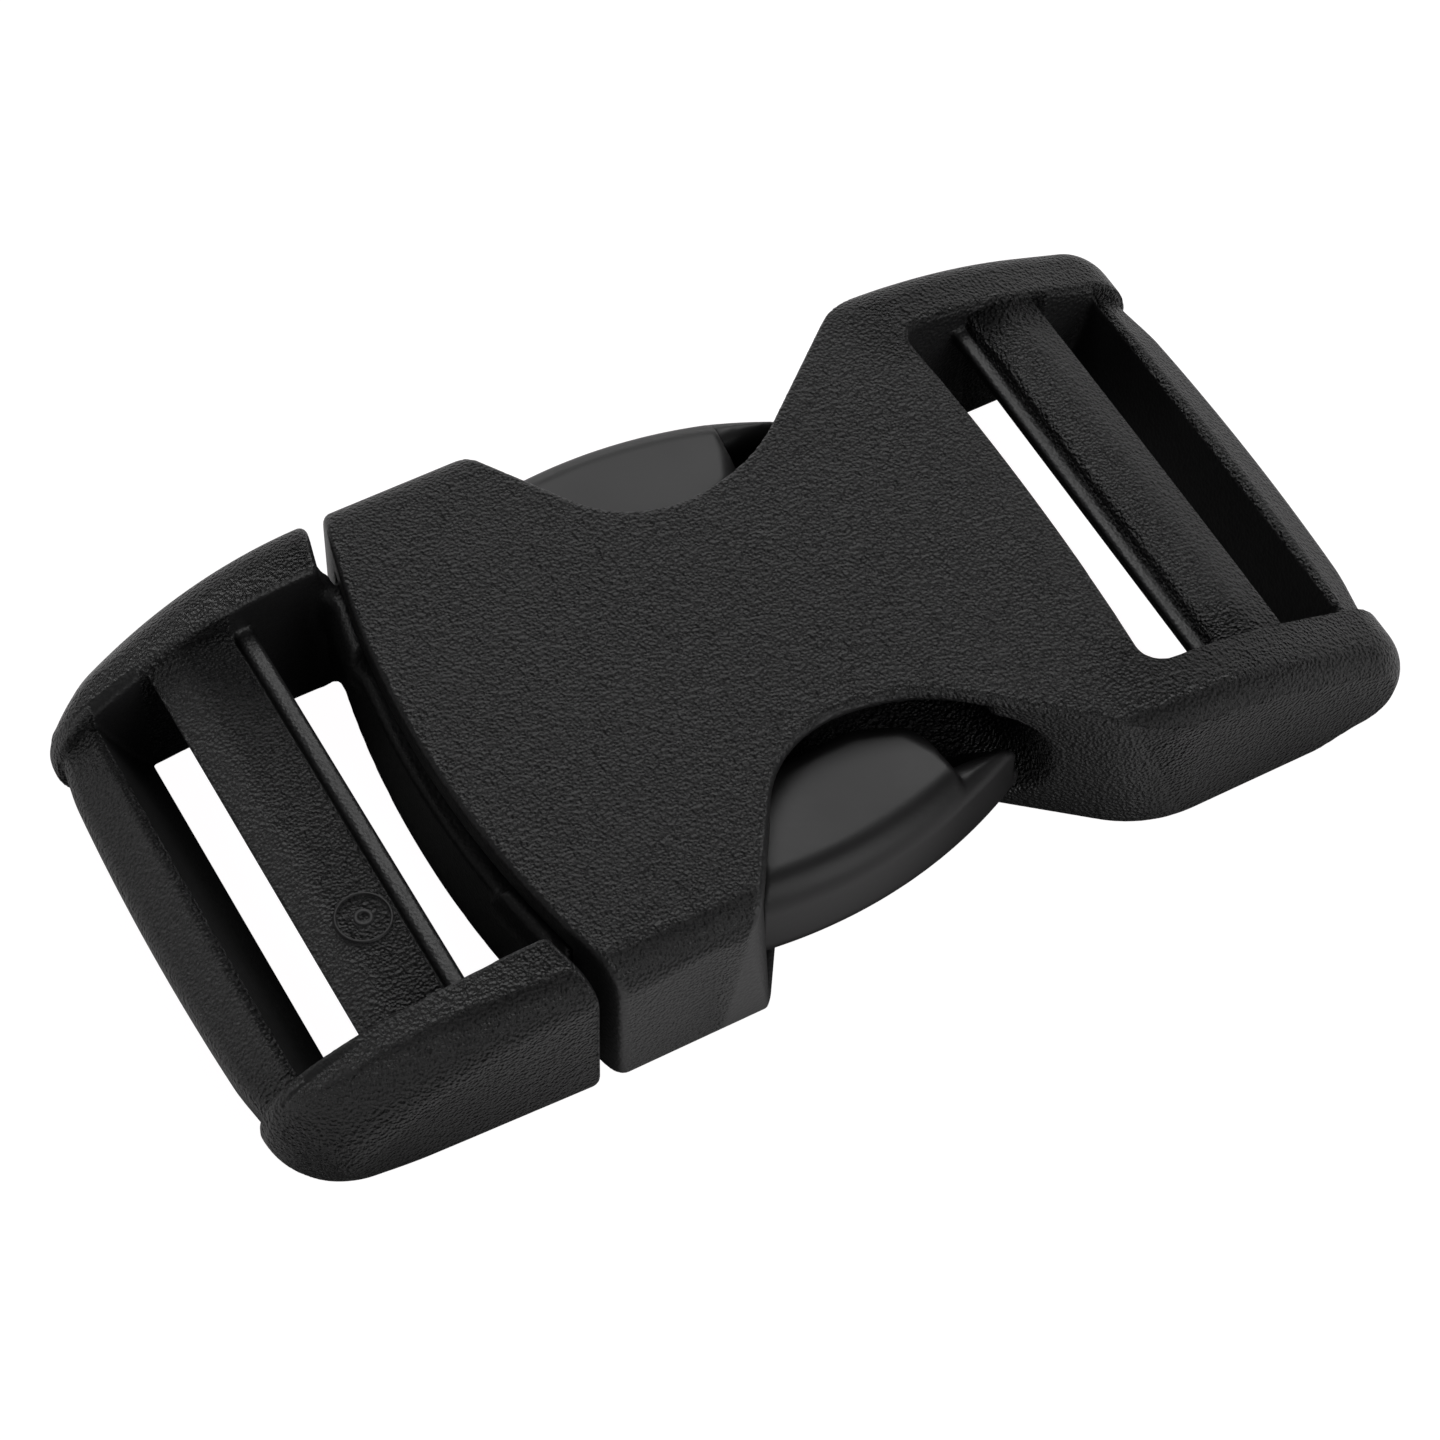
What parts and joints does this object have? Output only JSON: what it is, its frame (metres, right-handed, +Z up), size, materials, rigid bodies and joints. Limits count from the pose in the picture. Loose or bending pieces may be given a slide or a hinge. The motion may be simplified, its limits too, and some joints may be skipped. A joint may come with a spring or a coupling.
{
  "type": "side release buckle",
  "caption": "Side-release buckle, latched: a hollow socket and a pronged latch with squeeze pads, each with a ladder end that holds and adjusts flat webbing.",
  "frame": {"origin": "centre of the latched buckle's box in plan, on the plane that its flat underside rests on", "axes": "+X along the strap towards the socket's end, +Y across the strap, +Z up out of the face with the finger scallops' grained top"},
  "size_m": [0.0676, 0.0344, 0.0102],
  "materials": {
    "grained_plastic": "fine leather-like moulded grain, satin black",
    "smooth_plastic": "smooth satin black"
  },
  "bodies": {
    "socket": {"socket_upper_plate": "grained_plastic", "socket_lower_plate": "grained_plastic", "socket_near_mouth_wall": "grained_plastic", "socket_far_mouth_wall": "grained_plastic", "socket_end_wall": "grained_plastic", "socket_near_guide_rib": "smooth_plastic", "socket_far_guide_rib": "smooth_plastic", "socket_near_rail": "grained_plastic", "socket_far_rail": "grained_plastic", "socket_strap_bar": "grained_plastic", "socket_end_bar": "grained_plastic"},
    "latch": {"latch_crossbar": "smooth_plastic", "latch_guide_tongue": "smooth_plastic", "latch_near_rail": "grained_plastic", "latch_far_rail": "grained_plastic", "latch_strap_bar": "grained_plastic", "latch_end_bar": "grained_plastic"},
    "near_arm": {"near_spring_arm": "smooth_plastic", "near_release_pad": "smooth_plastic"},
    "far_arm": {"far_spring_arm": "smooth_plastic", "far_release_pad": "smooth_plastic"}
  },
  "joints": [
    {"name": "latch_slide", "type": "slide", "parent": "socket", "child": "latch", "axis": [-1, 0, 0], "range_m": [0, 0.031], "deforming": ["near_spring_arm", "far_spring_arm", "near_release_pad", "far_release_pad"]},
    {"name": "near_arm_flex", "type": "hinge", "parent": "latch", "child": "near_arm", "pos_m": [-0.0136, -0.0103, 0.0051], "axis": [0, 0, 1], "range_deg": [0, 12], "stiffness_Nm_per_rad": 0.9},
    {"name": "far_arm_flex", "type": "hinge", "parent": "latch", "child": "far_arm", "pos_m": [-0.0136, 0.0103, 0.0051], "axis": [0, 0, -1], "range_deg": [0, 12], "stiffness_Nm_per_rad": 0.9}
  ]
}
